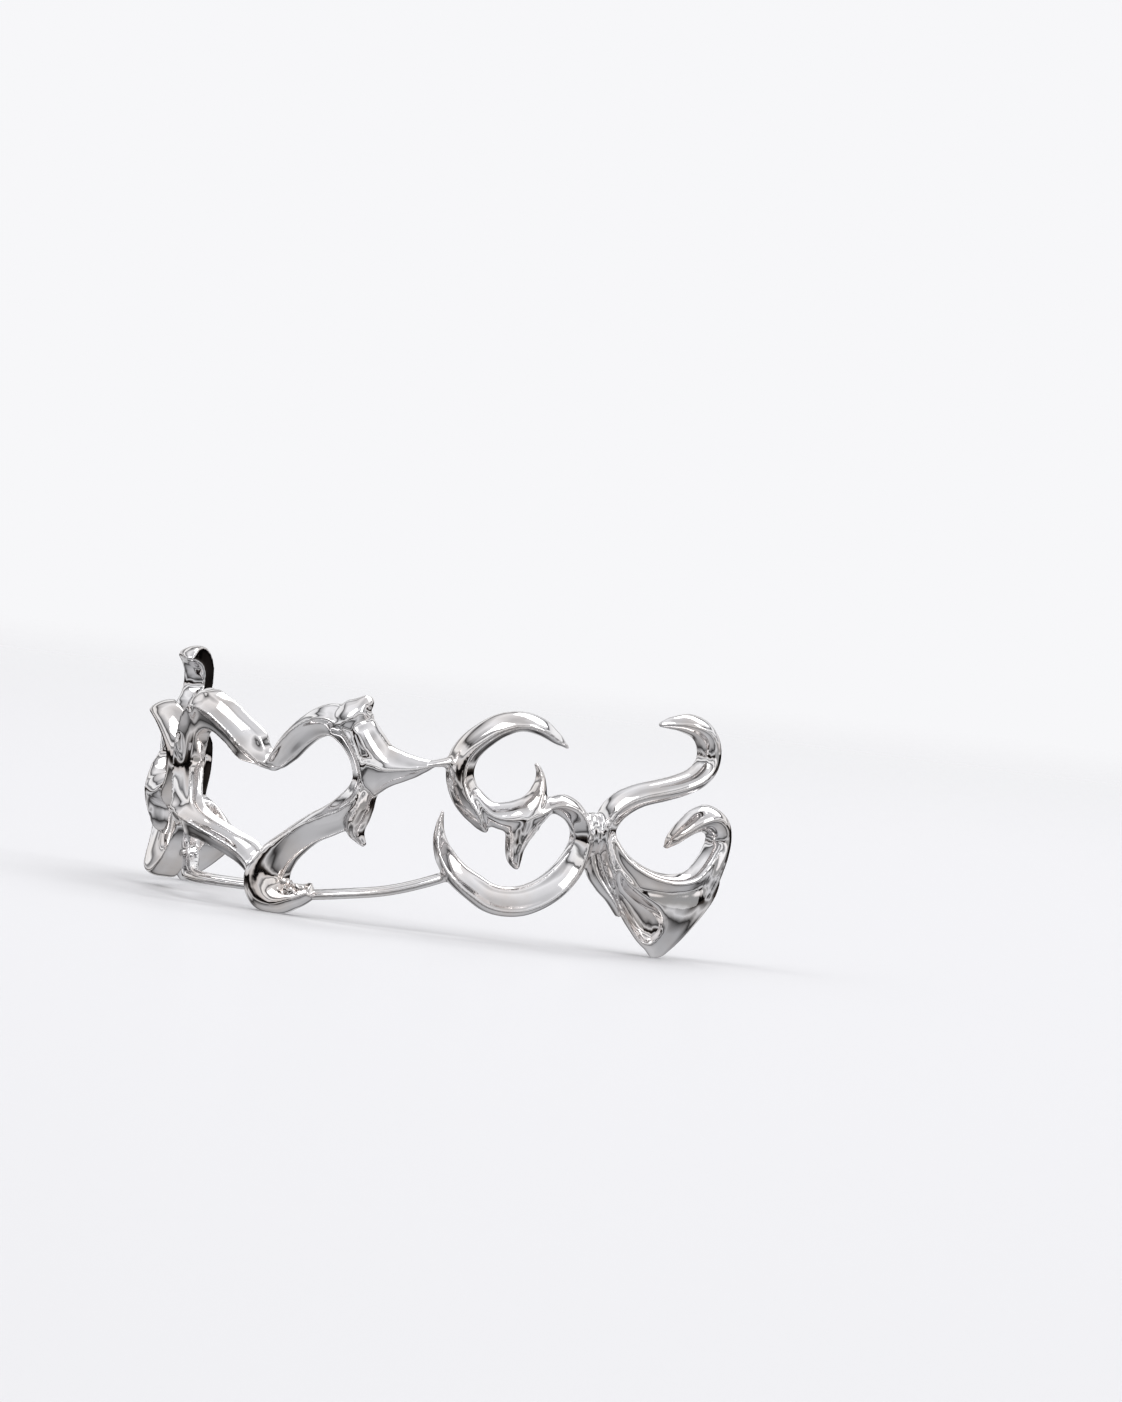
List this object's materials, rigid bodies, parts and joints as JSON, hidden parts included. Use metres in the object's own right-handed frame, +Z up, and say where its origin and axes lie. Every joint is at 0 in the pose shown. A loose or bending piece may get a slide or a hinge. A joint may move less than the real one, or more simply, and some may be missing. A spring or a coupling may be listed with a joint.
{
  "type": "openwork dental grill",
  "caption": "Openwork front grill for the six upper front teeth: a spiked heart, two scrolls, hooks and two hollow fangs joined by thin rails.",
  "frame": {"origin": "middle of the bounding box at the level that the heart's foot and the two fang tips stand on", "axes": "+X towards the viewer's right when the piece is seen from the front, +Y from the lips into the mouth, +Z up towards the gum"},
  "size_m": [0.0334, 0.0158, 0.0117],
  "materials": {
    "polished_silver": "mirror polished cast silver"
  },
  "bodies": {
    "root": {"grill": "polished_silver"}
  },
  "joints": []
}
